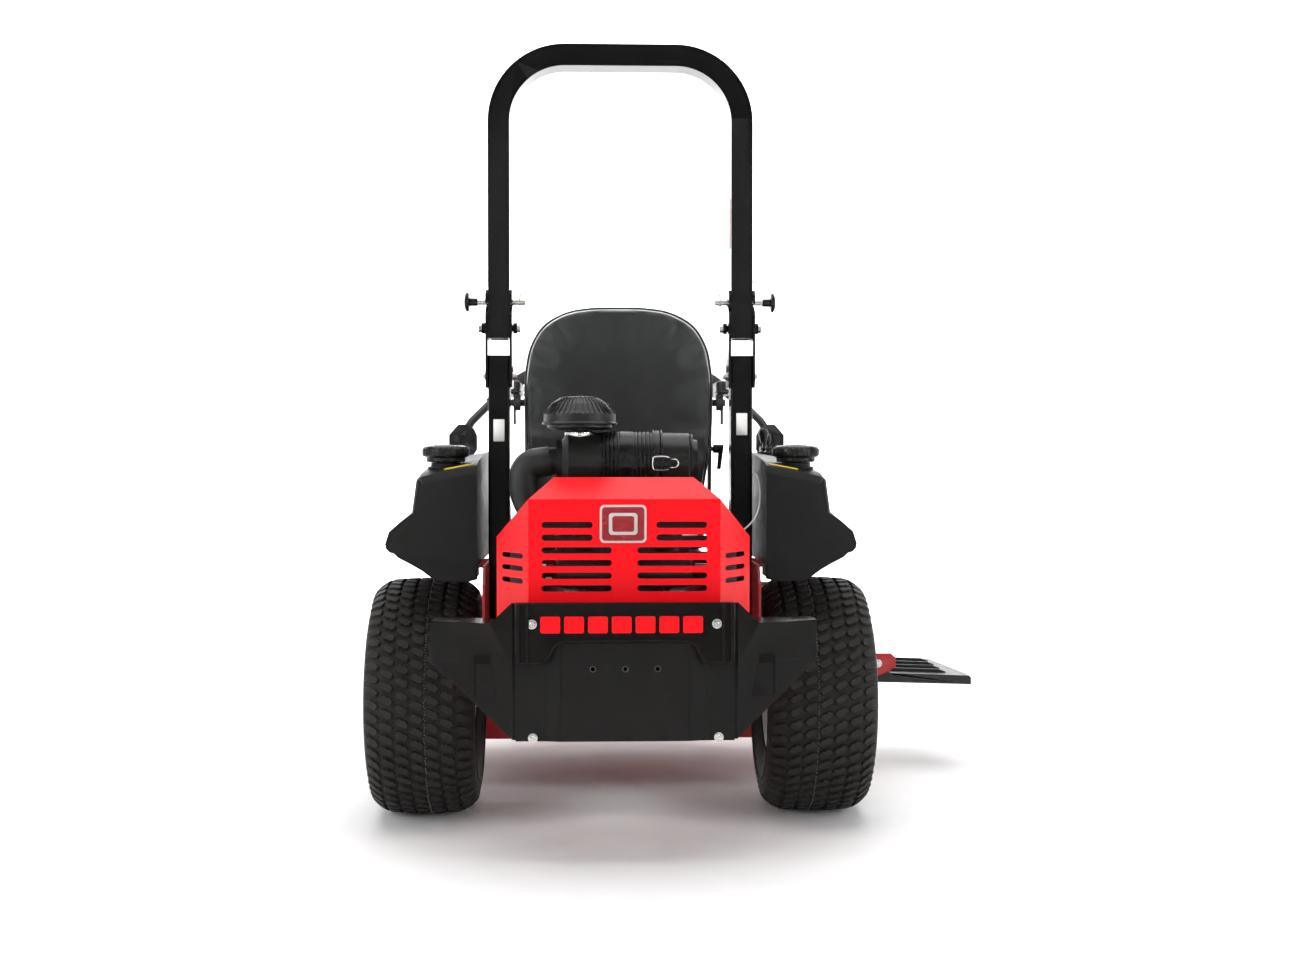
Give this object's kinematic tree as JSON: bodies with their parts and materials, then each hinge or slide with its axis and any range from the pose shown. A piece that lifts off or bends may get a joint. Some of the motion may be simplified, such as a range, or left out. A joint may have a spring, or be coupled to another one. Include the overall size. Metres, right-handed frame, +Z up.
{
  "type": "riding lawn mower",
  "caption": "Zero-turn riding mower with rear engine under a slotted guard, folding roll bar, lap-bar steering, padded seat and side-discharge deck.",
  "frame": {"origin": "on the ground under the middle of the machine's overall box, discharge chute down", "axes": "+X to the operator's right, +Y forward, +Z up"},
  "size_m": [1.5719, 1.917, 1.82],
  "materials": {
    "black_gloss": "gloss black paint",
    "red_paint": "bright red gloss paint",
    "black_metal": "satin black paint",
    "engine_metal": "cast, dull",
    "steel": "zinc plated",
    "dark_plastic": "moulded, fine grain",
    "shiny_plastic": "moulded, semi-gloss",
    "tyre_rubber": "matt, ribbed",
    "rim_paint": "light grey paint",
    "soft_rubber": "matt",
    "filter_paper": "pleated paper",
    "seat_vinyl": "dark grey vinyl, fine grain"
  },
  "bodies": {
    "chassis": {"frame_rail_left": "red_paint", "frame_rail_right": "red_paint", "front_crossmember": "red_paint", "engine_plate": "red_paint", "floor_pan": "black_metal", "seat_mount": "red_paint", "fender_brackets": "red_paint", "rops_upright_left": "black_gloss", "rops_upright_right": "black_gloss", "bumper_panel": "black_gloss", "bumper_cover": "black_gloss", "bumper_wings": "black_gloss", "engine_guard": "red_paint", "engine_block": "engine_metal", "blower_housing": "dark_plastic", "muffler": "black_metal", "air_cleaner_housing": "dark_plastic", "air_filter_element": "filter_paper", "precleaner": "dark_plastic", "intake_elbow": "soft_rubber", "fuel_tank_left": "dark_plastic", "fuel_tank_right": "dark_plastic", "transaxles": "engine_metal", "throttle_cable": "soft_rubber"},
    "roll_bar": {"rops_hoop": "black_gloss", "rops_lock_pins": "steel", "lanyard_left": "steel", "lanyard_right": "steel"},
    "air_cover": {"air_cleaner_cover": "dark_plastic"},
    "fuel_cap_left": {"fuel_cap_left": "shiny_plastic"},
    "fuel_cap_right": {"fuel_cap_right": "shiny_plastic"},
    "seat": {"seat_pan": "black_metal", "seat_cushion": "seat_vinyl"},
    "backrest": {"seat_backrest": "seat_vinyl"},
    "armrest_left": {"armrest_left": "seat_vinyl"},
    "armrest_right": {"armrest_right": "seat_vinyl"},
    "recline_lever": {"recline_lever": "shiny_plastic"},
    "lap_pivot_left": {"lap_pivot_left": "black_metal"},
    "lap_pivot_right": {"lap_pivot_right": "black_metal"},
    "lap_bar_left": {"lap_bar_left": "black_metal"},
    "lap_bar_right": {"lap_bar_right": "black_metal"},
    "throttle": {"throttle_lever": "shiny_plastic"},
    "choke": {"choke_lever": "shiny_plastic"},
    "deck": {"deck_shell": "red_paint", "belt_covers": "black_metal", "spindle_housings": "engine_metal", "deck_belt": "soft_rubber"},
    "spindle_left": {"spindle_left": "steel"},
    "spindle_centre": {"spindle_centre": "steel"},
    "spindle_right": {"spindle_right": "steel"},
    "chute": {"discharge_chute": "soft_rubber"},
    "pto": {"pto_pulley": "steel"},
    "rear_wheel_left": {"rear_tyre_left": "tyre_rubber", "rear_rim_left": "rim_paint"},
    "rear_wheel_right": {"rear_tyre_right": "tyre_rubber", "rear_rim_right": "rim_paint"},
    "caster_left": {"caster_fork_left": "black_metal"},
    "caster_right": {"caster_fork_right": "black_metal"},
    "caster_roll_left": {"caster_wheel_left": "tyre_rubber"},
    "caster_roll_right": {"caster_wheel_right": "tyre_rubber"}
  },
  "joints": [
    {"name": "rops_fold", "type": "hinge", "parent": "chassis", "child": "roll_bar", "pos_m": [-0.174, -0.3965, 1.154], "axis": [1, 0, 0], "range_deg": [0, 110]},
    {"name": "air_cover_off", "type": "slide", "parent": "chassis", "child": "air_cover", "axis": [1, 0, 0], "range_m": [0, 0.09]},
    {"name": "fuel_cap_left_lift", "type": "slide", "parent": "chassis", "child": "fuel_cap_left", "axis": [0, 0, 1], "range_m": [0, 0.09]},
    {"name": "fuel_cap_right_lift", "type": "slide", "parent": "chassis", "child": "fuel_cap_right", "axis": [0, 0, 1], "range_m": [0, 0.09]},
    {"name": "seat_slide", "type": "slide", "parent": "chassis", "child": "seat", "axis": [0, 1, 0], "range_m": [-0.04, 0.03]},
    {"name": "backrest_recline", "type": "hinge", "parent": "seat", "child": "backrest", "pos_m": [-0.174, -0.0865, 0.69], "axis": [1, 0, 0], "range_deg": [-10, 15]},
    {"name": "armrest_left_fold", "type": "hinge", "parent": "backrest", "child": "armrest_left", "pos_m": [-0.429, -0.1365, 0.985], "axis": [1, 0, 0], "range_deg": [0, 90]},
    {"name": "armrest_right_fold", "type": "hinge", "parent": "backrest", "child": "armrest_right", "pos_m": [0.081, -0.1365, 0.985], "axis": [1, 0, 0], "range_deg": [0, 90]},
    {"name": "recline_lever_turn", "type": "hinge", "parent": "backrest", "child": "recline_lever", "pos_m": [0.076, -0.1145, 0.868], "axis": [1, 0, 0], "range_deg": [-25, 25]},
    {"name": "lap_pivot_left_drive", "type": "hinge", "parent": "chassis", "child": "lap_pivot_left", "pos_m": [-0.586, 0.1035, 0.6], "axis": [1, 0, 0], "range_deg": [-12, 8]},
    {"name": "lap_bar_left_swing", "type": "hinge", "parent": "lap_pivot_left", "child": "lap_bar_left", "pos_m": [-0.586, 0.1035, 0.86], "axis": [0, -1, 0], "range_deg": [0, 25]},
    {"name": "lap_pivot_right_drive", "type": "hinge", "parent": "chassis", "child": "lap_pivot_right", "pos_m": [0.238, 0.1035, 0.6], "axis": [1, 0, 0], "range_deg": [-12, 8]},
    {"name": "lap_bar_right_swing", "type": "hinge", "parent": "lap_pivot_right", "child": "lap_bar_right", "pos_m": [0.238, 0.1035, 0.86], "axis": [0, 1, 0], "range_deg": [0, 25]},
    {"name": "throttle_turn", "type": "hinge", "parent": "chassis", "child": "throttle", "pos_m": [0.206, -0.0365, 0.868], "axis": [1, 0, 0], "range_deg": [-22, 22]},
    {"name": "choke_turn", "type": "hinge", "parent": "chassis", "child": "choke", "pos_m": [0.221, -0.0045, 0.868], "axis": [1, 0, 0], "range_deg": [-22, 22]},
    {"name": "deck_lift", "type": "slide", "parent": "chassis", "child": "deck", "axis": [0, 0, 1], "range_m": [-0.06, 0], "deforming": ["deck_belt"]},
    {"name": "spindle_left_spin", "type": "hinge", "parent": "deck", "child": "spindle_left", "pos_m": [-0.559, 0.2235, 0.231], "axis": [0, 0, 1], "continuous": true},
    {"name": "spindle_centre_spin", "type": "hinge", "parent": "deck", "child": "spindle_centre", "pos_m": [-0.154, 0.3535, 0.231], "axis": [0, 0, 1], "continuous": true},
    {"name": "spindle_right_spin", "type": "hinge", "parent": "deck", "child": "spindle_right", "pos_m": [0.251, 0.2235, 0.231], "axis": [0, 0, 1], "continuous": true},
    {"name": "pto_spin", "type": "hinge", "parent": "chassis", "child": "pto", "pos_m": [-0.174, -0.6665, 0.333], "axis": [0, 0, 1], "continuous": true},
    {"name": "chute_fold", "type": "hinge", "parent": "deck", "child": "chute", "pos_m": [0.526, 0.2745, 0.292], "axis": [0, -1, 0], "range_deg": [0, 75]},
    {"name": "rear_wheel_left_spin", "type": "hinge", "parent": "chassis", "child": "rear_wheel_left", "pos_m": [-0.634, -0.3765, 0.2795], "axis": [1, 0, 0], "continuous": true},
    {"name": "caster_left_swivel", "type": "hinge", "parent": "chassis", "child": "caster_left", "pos_m": [-0.654, 0.8535, 0.35], "axis": [0, 0, 1], "continuous": true},
    {"name": "caster_left_roll", "type": "hinge", "parent": "caster_left", "child": "caster_roll_left", "pos_m": [-0.654, 0.7935, 0.165], "axis": [1, 0, 0], "continuous": true},
    {"name": "rear_wheel_right_spin", "type": "hinge", "parent": "chassis", "child": "rear_wheel_right", "pos_m": [0.286, -0.3765, 0.2795], "axis": [1, 0, 0], "continuous": true},
    {"name": "caster_right_swivel", "type": "hinge", "parent": "chassis", "child": "caster_right", "pos_m": [0.306, 0.8535, 0.35], "axis": [0, 0, 1], "continuous": true},
    {"name": "caster_right_roll", "type": "hinge", "parent": "caster_right", "child": "caster_roll_right", "pos_m": [0.306, 0.7935, 0.165], "axis": [1, 0, 0], "continuous": true}
  ],
  "couplings": [
    {"joint": "spindle_centre_spin", "follows": "spindle_left_spin", "ratio": 1},
    {"joint": "spindle_right_spin", "follows": "spindle_left_spin", "ratio": 1},
    {"joint": "pto_spin", "follows": "spindle_left_spin", "ratio": 0.9028}
  ]
}
